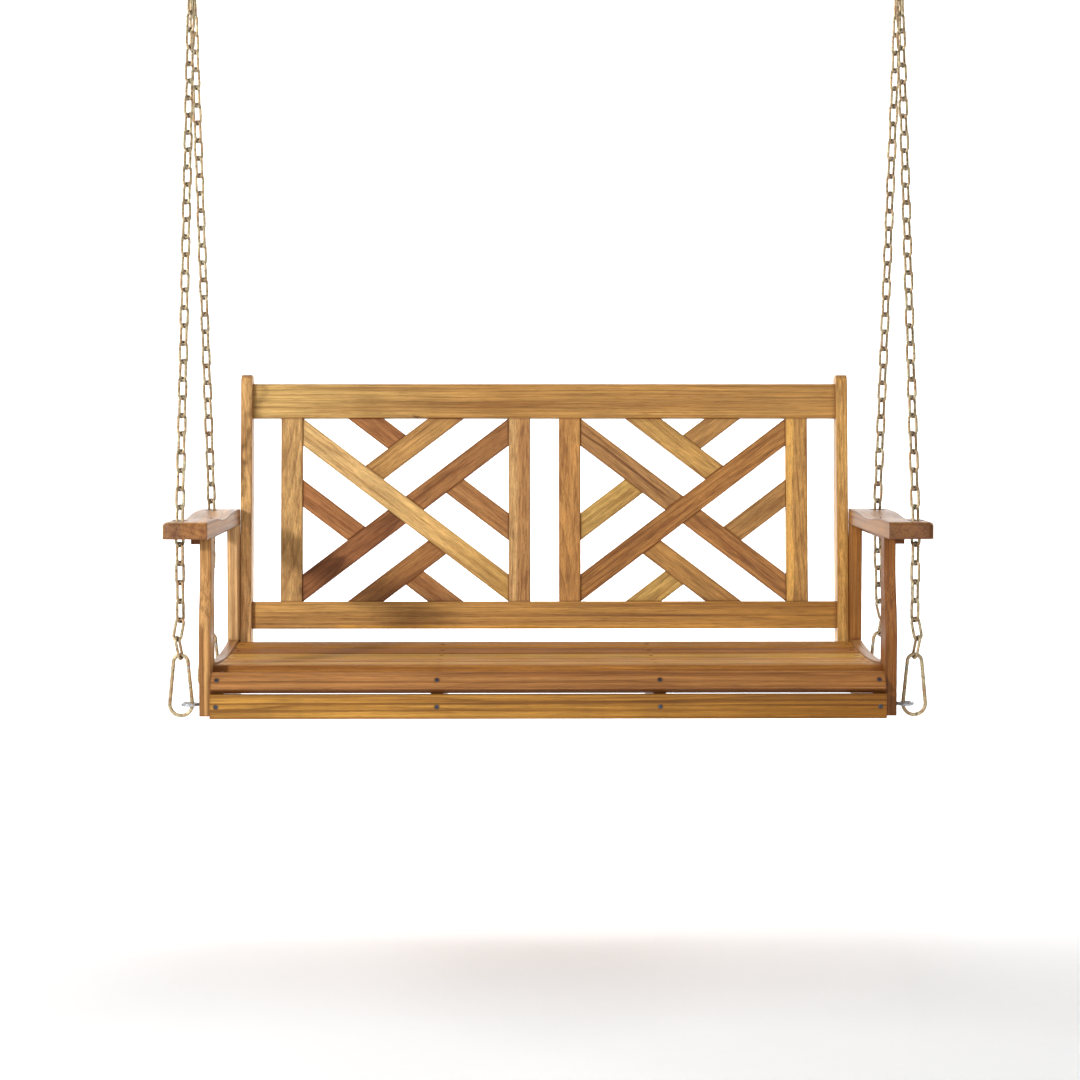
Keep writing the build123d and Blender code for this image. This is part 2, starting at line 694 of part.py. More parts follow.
def rivet():
    """The pin on which a gate turns, with a flat head at each end."""
    low, _, lean_deg = snap_line()
    pin = Cylinder(RIVET_R, 2 * GATE_R + 1)
    for side in (-1, 1):
        pin += Pos(0, 0, side * (GATE_R + 0.45)) * Cylinder(RIVET_R + 0.7, 0.7)
    pivot = Location((low.X, 0, low.Z), (0, lean_deg, 0)) * Pos(0, 0, GATE_PIVOT)
    return pivot * Rot(RIGHT_ANGLE, 0, 0) * pin


def hardware():
    """Snap hooks, gates, rivets and eye bolts at the foot of each chain."""
    rivets, eyes, washers, nuts = [], [], [], []
    outer_x = SEAT_HALF + SIDE_THICK
    inner_x = SEAT_HALF - RAIL_THICK
    washer_r, washer_t = WASHER
    nut_r, nut_t = NUT
    for place, y in CHAIN_Y.items():
        at = Pos(SNAP_X, y, SNAP_LOW_Z + SNAP_BIG_R)
        save_group(f"snap_hook_{place}", [at * snap_frame()])
        save_group(f"gate_{place}", [at * gate()])
        rivets += both_ends(at * rivet())
        eye = Pos(EYE_X, y, EYE_Z) * Torus(EYE_R, EYE_WIRE_R)
        shank_end = inner_x - washer_t - nut_t - 5
        eye += rod(EYE_WIRE_R, (shank_end, y, EYE_Z), (EYE_X - EYE_R, y, EYE_Z))
        eyes += both_ends(eye)
        for low_x in (inner_x - washer_t, outer_x):
            disc = hollow_disc(washer_r, EYE_WIRE_R + 0.25, (low_x, y, EYE_Z), (low_x + washer_t, y, EYE_Z))
            washers += both_ends(disc)
        plane = Plane(origin=(inner_x - washer_t - nut_t, y, EYE_Z), z_dir=(1, 0, 0))
        nut = plane * extrude(RegularPolygon(nut_r, 6), nut_t)
        nut -= rod(EYE_WIRE_R, (shank_end, y, EYE_Z), (inner_x, y, EYE_Z))
        nuts += both_ends(nut)
    save("gate_rivets", *rivets)
    save("eye_bolts", *eyes)
    save("eye_bolt_washers", *washers)
    save("eye_bolt_nuts", *nuts)


def hanger():
    """The ring that gathers two chains and the ceiling screw hook that it hangs on."""
    ring = Pos(HANG_X, HANG_Y, RING_Z) * Rot(0, RIGHT_ANGLE, 0) * Torus(RING_R, RING_WIRE_R)
    save("hanging_rings", *both_ends(ring))

    seat_z = RING_Z + RING_R - RING_WIRE_R - SLACK - HOOK_WIRE_R
    loop_z = seat_z + HOOK_R
    neck_rise = sqrt((HOOK_R + HOOK_NECK_R) ** 2 - HOOK_NECK_R**2)
    neck_z = loop_z + neck_rise
    share = HOOK_R / (HOOK_R + HOOK_NECK_R)
    joint = Vector(-HOOK_NECK_R * share, 0, loop_z + neck_rise * share)
    half_way = atan2(neck_rise, HOOK_NECK_R) / 2
    neck_middle = (-HOOK_NECK_R + HOOK_NECK_R * cos(half_way), 0, neck_z - HOOK_NECK_R * sin(half_way))
    tip_angle = radians(15)
    tip = Vector(HOOK_R * cos(tip_angle), 0, loop_z + HOOK_R * sin(tip_angle))
    path = Curve() + [
        Line((0, 0, CEILING_Z - 1), (0, 0, neck_z)),
        ThreePointArc((0, 0, neck_z), neck_middle, joint),
        ThreePointArc(joint, (0, 0, seat_z), tip),
    ]
    hook = sweep(Plane(origin=(0, 0, CEILING_Z - 1), z_dir=(0, 0, -1)) * Circle(HOOK_WIRE_R), path=path)
    hook += Pos(*tip) * Sphere(HOOK_WIRE_R)
    hook += Pos(0, 0, CEILING_Z) * revolve(Plane.XZ * stud_outline(), Axis.Z)
    save("ceiling_hooks", *both_ends(Pos(HANG_X, HANG_Y, 0) * hook))


def stud_outline():
    """Half of the lag screw's outline: a collar, a plain shank, the thread's grooves and a point."""
    collar_r, collar_t = 9.0, 3.0
    plain, threaded, point = 22.0, 60.0, 68.0
    groove, groove_pitch = 1.1, 3.0
    outline = [(0, -collar_t), (collar_r, -collar_t), (collar_r, 0), (STUD_R, 0), (STUD_R, plain)]
    z = plain
    while z + groove_pitch < threaded:
        outline += [(STUD_R - groove, z + 0.4), (STUD_R - groove, z + 1.8), (STUD_R, z + groove_pitch)]
        z += groove_pitch
    outline += [(STUD_R - groove, threaded), (0, point)]
    return outline_of(*outline)


# ---- the whole swing ----


def build():
    """Make every node."""
    seat()
    seat_frame()
    side_boards()
    arm_posts()
    save("arm_screws", *[solid for screw_part in armrests() for solid in both_ends(screw_part)])
    back_frame()
    lattice()
    frame_bolts()
    chains()
    hardware()
    hanger()


build()
os.makedirs("parts", exist_ok=True)
for node, solids in PIECES.items():
    export_step(Compound(solids), f"parts/{node}.step")
print(len(PIECES), "nodes")
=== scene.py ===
"""Looks of the porch swing seat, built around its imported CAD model. Lengths are in metres."""

import json
import math

import bpy
from mathutils import Euler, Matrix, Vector


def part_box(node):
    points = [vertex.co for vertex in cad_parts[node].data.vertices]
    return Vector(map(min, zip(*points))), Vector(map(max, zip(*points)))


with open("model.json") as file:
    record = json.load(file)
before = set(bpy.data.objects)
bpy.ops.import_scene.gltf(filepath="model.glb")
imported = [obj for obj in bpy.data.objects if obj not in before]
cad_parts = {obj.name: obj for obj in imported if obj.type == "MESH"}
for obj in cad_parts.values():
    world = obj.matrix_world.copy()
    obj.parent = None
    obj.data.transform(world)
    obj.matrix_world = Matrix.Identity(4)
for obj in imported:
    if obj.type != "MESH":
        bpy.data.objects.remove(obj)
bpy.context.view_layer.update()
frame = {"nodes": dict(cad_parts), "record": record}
nodes = frame["nodes"]

MM = 0.001


def bench_front():
    """The middle of the apron's low front edge, from which every place in the scene is measured."""
    low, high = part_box("seat_apron")
    return Vector(((low.x + high.x) / 2, low.y, low.z))


BENCH = bench_front()


# ---- node tree helpers ----

NEARNESS_SAMPLES = 4
# how open to the air a point is, from 0 to 1, where nearness is full and where it ends
SHUT_IN = 0.50
OPEN_AIR = 0.97


class Tree:
    """A material's node tree with short calls for the nodes used here."""

    def __init__(self, name):
        self.material = bpy.data.materials.new(name)
        self.material.use_nodes = True
        self.nodes = self.material.node_tree.nodes
        self.links = self.material.node_tree.links
        self.nodes.clear()
        self.shader = self.nodes.new("ShaderNodeBsdfPrincipled")
        output = self.nodes.new("ShaderNodeOutputMaterial")
        self.links.new(self.shader.outputs["BSDF"], output.inputs["Surface"])

    def feed(self, socket, value):
        """Link an output to a socket, or set a plain value on it."""
        if isinstance(value, bpy.types.NodeSocket):
            self.links.new(value, socket)
        else:
            socket.default_value = value

    def place(self):
        """Coordinates that stay with the piece."""
        return self.nodes.new("ShaderNodeTexCoord").outputs["Object"]

    def math(self, operation, a, b=0.0, clamp=False):
        node = self.nodes.new("ShaderNodeMath")
        node.operation = operation
        node.use_clamp = clamp
        for socket, value in zip(node.inputs, (a, b)):
            self.feed(socket, value)
        return node.outputs[0]

    def vector(self, operation, a, b=(0, 0, 0), scale=1.0):
        node = self.nodes.new("ShaderNodeVectorMath")
        node.operation = operation
        self.feed(node.inputs[0], a)
        self.feed(node.inputs[1], b)
        if operation == "SCALE":
            self.feed(node.inputs[3], scale)
        return node.outputs["Value" if operation in ("LENGTH", "DOT_PRODUCT") else "Vector"]

    def turned(self, vector, angles):
        """A vector turned about the origin."""
        node = self.nodes.new("ShaderNodeMapping")
        node.vector_type = "POINT"
        self.feed(node.inputs["Vector"], vector)
        node.inputs["Rotation"].default_value = angles
        return node.outputs["Vector"]

    def parts(self, vector):
        """The x, y and z outputs of a vector."""
        node = self.nodes.new("ShaderNodeSeparateXYZ")
        self.links.new(vector, node.inputs[0])
        return node.outputs

    def span(self, value, low, high, soft):
        """1 between two limits and 0 outside them, over a soft width inside each."""
        above = self.math("DIVIDE", self.math("SUBTRACT", value, low), soft, clamp=True)
        below = self.math("DIVIDE", self.math("SUBTRACT", high, value), soft, clamp=True)
        return self.math("MULTIPLY", above, below)

    def noise(self, vector, scale, detail=2.0, roughness=0.5, colour=False):
        """Noise between 0 and 1. scale is per metre along each axis."""
        node = self.nodes.new("ShaderNodeTexNoise")
        node.inputs["Scale"].default_value = 1.0
        node.inputs["Detail"].default_value = detail
        node.inputs["Roughness"].default_value = roughness
        self.links.new(self.vector("MULTIPLY", vector, scale), node.inputs["Vector"])
        return node.outputs["Color" if colour else "Fac"]

    def ramp(self, factor, *stops):
        """A smooth map: stops are (position, colour or grey)."""
        node = self.nodes.new("ShaderNodeValToRGB")
        elements = node.color_ramp.elements
        while len(elements) < len(stops):
            elements.new(0.5)
        for element, (position, colour) in zip(elements, stops):
            element.position = position
            grey = isinstance(colour, (int, float))
            element.color = (colour, colour, colour, 1) if grey else (*colour, 1)
        self.feed(node.inputs["Fac"], factor)
        return node.outputs["Color"]

    def mix(self, factor, a, b, how="MIX"):
        node = self.nodes.new("ShaderNodeMix")
        node.data_type = "RGBA"
        node.blend_type = how
        self.feed(node.inputs[0], factor)
        for socket, value in ((node.inputs[6], a), (node.inputs[7], b)):
            self.feed(socket, value if isinstance(value, bpy.types.NodeSocket) else (*value, 1))
        return node.outputs[2]

    def nearness(self, reach, inside=False):
        """1 where another surface, or inside the piece its own next face, is close, and 0 elsewhere."""
        node = self.nodes.new("ShaderNodeAmbientOcclusion")
        node.samples = NEARNESS_SAMPLES
        node.inside = inside
        node.only_local = inside
        node.inputs["Distance"].default_value = reach
        return self.ramp(node.outputs["AO"], (SHUT_IN, 1.0), (OPEN_AIR, 0.0))

    def bump(self, *layers):
        """Bump from (height, distance in metres) layers, one over another."""
        normal = None
        for height, distance in layers:
            node = self.nodes.new("ShaderNodeBump")
            node.inputs["Strength"].default_value = 1.0
            node.inputs["Distance"].default_value = distance
            self.feed(node.inputs["Height"], height)
            if normal is not None:
                self.feed(node.inputs["Normal"], normal)
            normal = node.outputs["Normal"]
        self.feed(self.shader.inputs["Normal"], normal)

    def surface(self, colour, roughness, metallic=0.0):
        self.feed(self.shader.inputs["Base Color"], colour)
        self.feed(self.shader.inputs["Roughness"], roughness)
        self.shader.inputs["Metallic"].default_value = metallic


def linear(red, green, blue):
    """An sRGB colour of 0 to 255 as the linear values that shaders take."""

    def one(value):
        value /= 255
        return value / 12.92 if value <= 0.04045 else ((value + 0.055) / 1.055) ** 2.4

    return (one(red), one(green), one(blue))


def give(node, material):
    """Use one material on a whole CAD node."""
    mesh = nodes[node].data
    mesh.materials.clear()
    mesh.materials.append(material)


# ---- wood ----

# what a board's own linear colour is multiplied by for each kind of figure
SAPWOOD = (1.26, 1.32, 1.38)
PALE_SAPWOOD = (1.50, 1.58, 1.45)
HEARTWOOD = (0.60, 0.50, 0.44)
# this dark factor also colours the worn edges and the painted shade in gaps and joints
DARK_LINE_AND_SHADE = (0.36, 0.27, 0.23)
END_GRAIN = (0.62, 0.54, 0.50)

# sRGB colours of the smallest marks
PORE_COLOUR = (84, 50, 24)
KNOT_COLOUR = (74, 40, 20)

# how strongly each shows, from 0 to 1
SOFT_BAND_STRENGTH = 0.75
LIGHT_STREAK_STRENGTH = 0.60
DARK_STREAK_STRENGTH = 0.95
HAIRLINE_STRENGTH = 0.45
RING_STRENGTH = 0.55
PLACED_BAND_STRENGTH = 0.8
PORE_STRENGTH = 0.4
# painted shade: how dark the gaps and joints between parts are made
GAP_SHADE_STRENGTH = 0.8
# what the fibres add to a board's least roughness
FIBRE_ROUGHNESS = 0.24

# how fine each noise is per metre, along the grain and across it both ways
BANDS = (0.9, 19, 19)
STREAKS = (1.5, 105, 105)
HAIRLINES = (0.8, 240, 240)
FIBRES = (11, 460, 460)
PORES = (40, 1300, 1300)
OIL_PATCHES = (7, 16, 16)
STRONG_RINGS = (1.1, 12, 12)
KNOT_EDGE = (110, 230, 230)
KNOT_SWIRL = (30, 60, 60)
BAND_EDGE = (9, 1, 1)

# lengths in metres
PITH_REACH = 0.07
RING_PITCH = 0.0085
RINGS_ROUND_KNOT = 0.02
SWIRL_REACH = 0.012
EDGE_REACH = 0.004
BAND_SWAY = 0.012
BAND_SOFT_ACROSS = 0.001
BAND_SOFT_ALONG = 0.04
# (how fine per metre, how far in metres) the rings wander from true circles
RING_WANDERS = (((1.3, 5, 5), 0.035), ((7, 45, 45), 0.003))
RING_DEPTH = -0.00010
STREAK_DEPTH = 0.00012
FIBRE_DEPTH = 0.00016
PORE_DEPTH = 0.00014

# a knot's distance counts less along the grain and not at all through the board
KNOT_DRAWN_OUT = (0.4, 0, 1)
# radians from one board's pith to the next, so that no two boards show the same rings
PITH_TURN = 2.399


def shade_of(colour, factors):
    """A darker or lighter version of a colour."""
    return tuple(value * factor for value, factor in zip(colour, factors))


def grain_turn(grain):
    """Angles that bring the grain's direction onto the x axis. A number is a slope in degrees."""
    named = {"x": (0, 0, 0), "y": (0, 0, -math.pi / 2), "z": (0, math.pi / 2, 0)}
    return named[grain] if grain in named else (0, math.radians(grain), 0)


def board_middle(name, grain):
    """The middle of a board, in the turned coordinates."""
    low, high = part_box(name)
    return Euler(grain_turn(grain)).to_matrix() @ ((low + high) / 2)


def knot_field(tree, along, grain, knots):
    """Closeness to the nearest knot: 1 in its middle, 0 two radii away, drawn out along the grain."""
    turn = Euler(grain_turn(grain)).to_matrix()
    ragged = tree.math("ADD", tree.noise(along, KNOT_EDGE), 0.5)
    field = 0.0
    for x, z, radius in knots:
        place = turn @ Vector((BENCH.x + x * MM, 0, BENCH.z + z * MM))
        away = tree.vector("MULTIPLY", tree.vector("SUBTRACT", along, tuple(place)), KNOT_DRAWN_OUT)
        away = tree.math("MULTIPLY", tree.vector("LENGTH", away), ragged)
        near = tree.math("SUBTRACT", 1.0, tree.math("DIVIDE", away, 2 * radius * MM), clamp=True)
        field = tree.math("MAXIMUM", field, near)
    return field


def growth_rings(tree, along, moved, middle, seed, knot):
    """Dark growth lines about a pith beside the board, some of them fainter than others."""
    place = along
    for fineness, reach in RING_WANDERS:
        shift = tree.vector("SUBTRACT", tree.noise(moved, fineness, colour=True), (0.5, 0.5, 0.5))
        place = tree.vector("ADD", place, tree.vector("MULTIPLY", shift, (0, reach, reach)))
    way = seed * PITH_TURN
    pith = (0, middle.y + PITH_REACH * math.cos(way), middle.z + PITH_REACH * math.sin(way))
    away = tree.vector("SUBTRACT", tree.vector("MULTIPLY", place, (0, 1, 1)), pith)
    bulge = tree.math("MULTIPLY", knot, RINGS_ROUND_KNOT)
    distance = tree.math("ADD", tree.vector("LENGTH", away), bulge)
    phase = tree.math("FRACT", tree.math("DIVIDE", distance, RING_PITCH))
    ring = tree.ramp(phase, (0.45, 0.0), (0.82, 0.55), (0.93, 1.0), (1.0, 0.0))
    strong = tree.ramp(tree.noise(moved, STRONG_RINGS), (0.38, 0.1), (0.62, 1.0))
    return tree.math("MULTIPLY", ring, strong)


def band_mask(tree, along, drift, middle, low, high, start, stop):
    """1 inside a wandering band of a board and 0 outside it."""
    lengthways, _, across = tree.parts(tree.vector("SUBTRACT", along, tuple(middle)))
    sway = tree.math("SUBTRACT", tree.noise(tree.vector("ADD", along, drift), BAND_EDGE), 0.5)
    across = tree.math("ADD", across, tree.math("MULTIPLY", sway, BAND_SWAY))
    inside = tree.span(across, low, high, BAND_SOFT_ACROSS)
    return tree.math("MULTIPLY", inside, tree.span(lengthways, start, stop, BAND_SOFT_ALONG))


def end_grain(tree, grain):
    """1 on the faces that cut across the grain and 0 on the others."""
    normal = tree.nodes.new("ShaderNodeTexCoord").outputs["Normal"]
    facing = tree.vector("DOT_PRODUCT", tree.turned(normal, grain_turn(grain)), (1, 0, 0))
    return tree.ramp(tree.math("ABSOLUTE", facing), (0.55, 0.0), (0.85, 1.0))


def wood(
    name,
    grain,
    colours,
    seed,
    split=None,
    knots=(),
    bands=(),
    lines=1.0,
    gloss=0.27,
    shine=0.2,
    gap=0.009,
):
    """Oiled acacia: sapwood and heartwood bands, growth lines about a wandering pith, fibres and pores.

    colours holds one or two sRGB colours. split is (axis, place, width) of the change between them.
    knots are (x, z, radius) in millimetres from BENCH.
    bands are (low, high, start, stop, shade) areas in metres from the board's middle, across and along.
    lines is the strength of the growth lines, gloss the least roughness and shine the specular level.
    The last argument is how near another surface has to be for painted shade to darken the wood, in
    metres.
    """
    tree = Tree(name)
    here = tree.place()
    middle = board_middle(name, grain)
    along = tree.turned(here, grain_turn(grain))
    drift = (seed * 7.1 % 5, seed * 3.3 % 7, seed * 5.7 % 3)
    moved = tree.vector("ADD", along, drift)
    knot = knot_field(tree, along, grain, knots)
    swirl = tree.vector("SCALE", tree.noise(moved, KNOT_SWIRL, detail=1.0, colour=True), scale=knot)
    bent = tree.vector("ADD", moved, tree.vector("MULTIPLY", swirl, (0, SWIRL_REACH, SWIRL_REACH)))

    band = tree.noise(bent, BANDS, detail=4.0, roughness=0.6)
    streak = tree.noise(bent, STREAKS, detail=3.0, roughness=0.6)
    fibre = tree.noise(moved, FIBRES, detail=3.0, roughness=0.65)
    hairline = tree.ramp(tree.noise(bent, HAIRLINES), (0.53, 0.0), (0.68, 1.0))
    ring = growth_rings(tree, along, moved, middle, seed, knot)
    # (where, how strongly, shade) from the broadest figure to the finest
    figure = (
        (tree.ramp(band, (0.52, 0.0), (0.72, 1.0)), SOFT_BAND_STRENGTH, SAPWOOD),
        (tree.ramp(band, (0.30, 1.0), (0.47, 0.0)), SOFT_BAND_STRENGTH, HEARTWOOD),
        (tree.ramp(streak, (0.30, 1.0), (0.46, 0.0)), LIGHT_STREAK_STRENGTH, SAPWOOD),
        (tree.ramp(streak, (0.50, 0.0), (0.70, 1.0)), DARK_STREAK_STRENGTH, HEARTWOOD),
        (hairline, HAIRLINE_STRENGTH * lines, DARK_LINE_AND_SHADE),
        (ring, RING_STRENGTH * lines, DARK_LINE_AND_SHADE),
    )

    def coloured(colour):
        own = linear(*colour)
        body = own
        for where, strength, shade in figure:
            body = tree.mix(tree.math("MULTIPLY", where, strength), body, shade_of(own, shade))
        return body

    colour = coloured(colours[0])
    if split:
        axis, place, width = split
        beyond = tree.math("DIVIDE", tree.math("SUBTRACT", tree.parts(here)[axis], place), width)
        colour = tree.mix(tree.math("ADD", beyond, 0.5, clamp=True), colour, coloured(colours[1]))
    for low, high, start, stop, shade in bands:
        mask = band_mask(tree, along, drift, middle, low, high, start, stop)
        tone = shade_of(linear(*colours[-1]), shade)
        colour = tree.mix(tree.math("MULTIPLY", mask, PLACED_BAND_STRENGTH), colour, tone)

    pore = tree.ramp(tree.noise(moved, PORES, detail=1.0), (0.60, 0.0), (0.70, 1.0))
    oil = tree.ramp(tree.noise(moved, OIL_PATCHES, detail=3.0), (0.30, 0.86), (0.70, 1.08))
    colour = tree.mix(1.0, colour, tree.ramp(fibre, (0.28, 0.66), (0.72, 1.20)), how="MULTIPLY")
    colour = tree.mix(1.0, colour, oil, how="MULTIPLY")
    colour = tree.mix(tree.math("MULTIPLY", pore, PORE_STRENGTH), colour, linear(*PORE_COLOUR))
    colour = tree.mix(tree.ramp(knot, (0.30, 0.0), (0.90, 0.75)), colour, linear(*KNOT_COLOUR))
    end_colour = tree.mix(1.0, colour, END_GRAIN, how="MULTIPLY")
    colour = tree.mix(end_grain(tree, grain), colour, end_colour)

    edge = tree.nearness(EDGE_REACH, inside=True)
    worn = tree.math("MULTIPLY", edge, tree.ramp(fibre, (0.35, 0.6), (0.65, 1.0)))
    # painted shade: darker where another part comes close, in the gaps and joints between boards; worn
    # edges take the same dark colour
    gap_shade = tree.math("MULTIPLY", tree.nearness(gap), GAP_SHADE_STRENGTH)
    marks_and_shade = tree.math("MAXIMUM", worn, gap_shade)
    colour = tree.mix(marks_and_shade, colour, shade_of(linear(*colours[0]), DARK_LINE_AND_SHADE))

    tree.surface(colour, tree.math("ADD", tree.math("MULTIPLY", fibre, FIBRE_ROUGHNESS), gloss))
    tree.shader.inputs["Specular IOR Level"].default_value = shine
    pits = tree.math("SUBTRACT", 1.0, pore)
    tree.bump((ring, RING_DEPTH), (streak, STREAK_DEPTH), (fibre, FIBRE_DEPTH), (pits, PORE_DEPTH))
    return tree.material


# the lattice strips' slope in degrees, and the middle of each panel across the bench
SLOPE = 37.25
PANEL_X = 0.25675
# where two colours meet on a board: (axis, place, width) in metres
SHARP = 0.001
ALONG_BENCH = (0, 0.1, 0.9)
UP_THE_POST = (2, BENCH.z + 0.26, 0.2)
UPPER_STRIP = (2, BENCH.z + 0.33, SHARP)
ARM_JOINT_X = 0.604
ARM_JOINT_WIDTH = 0.004

# each board: the way its grain runs, its colours, and what else sets it apart
WOODS = {
    "seat_apron": {
        "grain": "x",
        "colours": [(190, 138, 60), (142, 90, 24)],
        "split": ALONG_BENCH,
        "lines": 1.7,
    },
    "seat_nose_slat": {
        "grain": "x",
        "colours": [(172, 118, 66), (172, 116, 62)],
        "split": ALONG_BENCH,
        "lines": 1.2,
    },
    "seat_cross_rail": {"grain": "x", "colours": [(176, 126, 70)]},
    "corner_blocks": {"grain": "x", "colours": [(170, 122, 68)]},
    # painted light: the top rail is lighter towards its left end, where the light falls more strongly
    "back_top_rail": {
        "grain": "x",
        "colours": [(208, 168, 100), (190, 140, 72)],
        "split": (0, -0.28, 0.4),
        "knots": [(-237, 494, 4)],
    },
    "back_lower_rail": {
        "grain": "x",
        "colours": [(200, 150, 82), (188, 132, 58)],
        "split": (0, 0, 0.9),
        "lines": 0.7,
        "bands": [(-0.04, -0.0175, -0.4, 0.6, PALE_SAPWOOD)],
    },
    "arm_cleats": {"grain": "y", "colours": [(150, 98, 54)]},
    "armrest_left": {
        "grain": "y",
        "colours": [(160, 116, 72), (186, 132, 72)],
        "split": (0, -ARM_JOINT_X, ARM_JOINT_WIDTH),
        "gloss": 0.26,
        "shine": 0.36,
    },
    "armrest_right": {
        "grain": "y",
        "colours": [(168, 116, 60), (162, 110, 60)],
        "split": (0, ARM_JOINT_X, ARM_JOINT_WIDTH),
        "gloss": 0.26,
        "shine": 0.36,
    },
    "front_arm_post_left": {"grain": "z", "colours": [(184, 136, 80)]},
    "front_arm_post_right": {"grain": "z", "colours": [(144, 90, 38)]},
    "rear_arm_post_left": {"grain": "z", "colours": [(240, 198, 138)]},
    "rear_arm_post_right": {"grain": "z", "colours": [(170, 112, 50)]},
    # painted light: the left back post is lighter towards the bottom to offset the shadow the rear arm
    # post casts there
    "back_post_left": {
        "grain": "z",
        "colours": [(242, 192, 126), (220, 172, 108)],
        "split": UP_THE_POST,
    },
    "back_post_right": {
        "grain": "z",
        "colours": [(226, 174, 92), (208, 158, 86)],
        "split": UP_THE_POST,
    },
    "back_stile_left_outer": {"grain": "z", "colours": [(204, 160, 98)], "knots": [(-450, 176, 4)]},
    "back_stile_left_inner": {
        "grain": "z",
        "colours": [(210, 164, 104), (190, 138, 80)],
        "split": (0, -0.050, 0.006),
        "lines": 1.3,
    },
    "back_stile_right_inner": {"grain": "z", "colours": [(196, 140, 74)]},
    "back_stile_right_outer": {
        "grain": "z",
        "colours": [(200, 148, 78)],
        "bands": [(0.007, 0.03, -0.3, 0.3, PALE_SAPWOOD)],
    },
    "lattice_diagonal_left": {
        "grain": -SLOPE,
        "colours": [(230, 188, 122), (206, 160, 84)],
        "split": (0, -0.2, 0.3),
        "lines": 0.5,
    },
    "lattice_cross_left": {
        "grain": SLOPE,
        "colours": [(148, 94, 52), (162, 110, 60)],
        "split": (0, -PANEL_X, SHARP),
        "knots": [(-290, 342, 6)],
    },
    "lattice_chevrons_left": {
        "grain": SLOPE,
        "colours": [(176, 122, 66), (196, 146, 82)],
        "split": UPPER_STRIP,
    },
    "lattice_spurs_left": {
        "grain": -SLOPE,
        "colours": [(176, 118, 68), (180, 126, 72)],
        "split": (0, -PANEL_X, SHARP),
    },
    "lattice_diagonal_right": {"grain": SLOPE, "colours": [(178, 122, 60)], "lines": 1.4},
    "lattice_cross_right": {
        "grain": -SLOPE,
        "colours": [(182, 132, 76), (176, 120, 62)],
        "split": (0, PANEL_X, SHARP),
        "bands": [(0.0, 0.005, -0.3, -0.01, DARK_LINE_AND_SHADE), (-0.019, -0.013, 0.02, 0.3, SAPWOOD)],
    },
    "lattice_chevrons_right": {
        "grain": -SLOPE,
        "colours": [(184, 134, 70), (196, 150, 80)],
        "split": UPPER_STRIP,
    },
    "lattice_spurs_right": {
        "grain": SLOPE,
        "colours": [(206, 164, 88), (184, 136, 74)],
        "split": (0, PANEL_X, SHARP),
    },
}
# the flat slats from the front to the back
SLAT_COLOURS = (
    (182, 124, 58),
    (206, 156, 82),
    (204, 146, 78),
    (214, 162, 74),
    (176, 116, 56),
    (190, 132, 60),
)
for number, colour in enumerate(SLAT_COLOURS, start=1):
    WOODS[f"seat_slat_{number}"] = {
        "grain": "x",
        "colours": [colour],
        "gloss": 0.40,
        "shine": 0.12,
        # painted shade reaches further into the gaps between the slats
        "gap": 0.026,
    }
for side in ("left", "right"):
    WOODS[f"seat_end_rail_{side}"] = {"grain": "y", "colours": [(176, 126, 72)]}
    WOODS[f"seat_mid_rail_{side}"] = {"grain": "y", "colours": [(172, 124, 72)]}
    WOODS[f"side_board_{side}"] = {"grain": "y", "colours": [(180, 128, 72)]}

for seed, (node, look) in enumerate(sorted(WOODS.items()), start=1):
    give(node, wood(node, seed=seed, **look))


# ---- metals ----

# how fine each noise is per metre
CLOUDS = (60, 60, 60)
TINTS = (140, 140, 140)
SPOTS = (260, 260, 260)
PITS = (1400, 1400, 1400)

# the next line is how near another part has to be for painted shade on the metal, in metres
CONTACT_SHADE_REACH = 0.004
PIT_DEPTH = 0.00006
CLOUD_DEPTH = 0.0002
PLATING_METALLIC = 0.45
STAIN_STRENGTH = 0.7
# the next line is how dark the painted shade where metal parts touch is made, from 0 to 1
CONTACT_SHADE_STRENGTH = 0.9
CLOUD_ROUGHNESS = 0.2


def plated(name, pale, warm, cool, stain_and_shade, roughness):
    """Plated steel wire: cloudy passivated colour, fine pitting, brown stains and painted shade where
    parts touch.

    The first four are sRGB colours and the last is the least roughness.
    """
    tree = Tree(name)
    here = tree.place()
    cloud = tree.noise(here, CLOUDS, detail=3.0)
    tint = tree.ramp(tree.noise(here, TINTS), (0.50, 0.0), (0.70, 0.8))
    spots = tree.ramp(tree.noise(here, SPOTS, detail=4.0), (0.50, 0.0), (0.66, 1.0))
    spots = tree.math("MULTIPLY", spots, STAIN_STRENGTH)
    # painted shade: darker where links and other parts come close; the stain colour serves both the
    # stains and this shade
    contact_shade = tree.math("MULTIPLY", tree.nearness(CONTACT_SHADE_REACH), CONTACT_SHADE_STRENGTH)
    marks_and_shade = tree.math("MAXIMUM", spots, contact_shade)
    colour = tree.mix(tree.ramp(cloud, (0.35, 0.0), (0.65, 1.0)), linear(*pale), linear(*warm))
    colour = tree.mix(tint, colour, linear(*cool))
    colour = tree.mix(marks_and_shade, colour, linear(*stain_and_shade))
    rough = tree.math("ADD", tree.math("MULTIPLY", cloud, CLOUD_ROUGHNESS), roughness)
    tree.surface(colour, rough, metallic=PLATING_METALLIC)
    tree.bump((tree.noise(here, PITS), PIT_DEPTH), (cloud, CLOUD_DEPTH))
    return tree.material


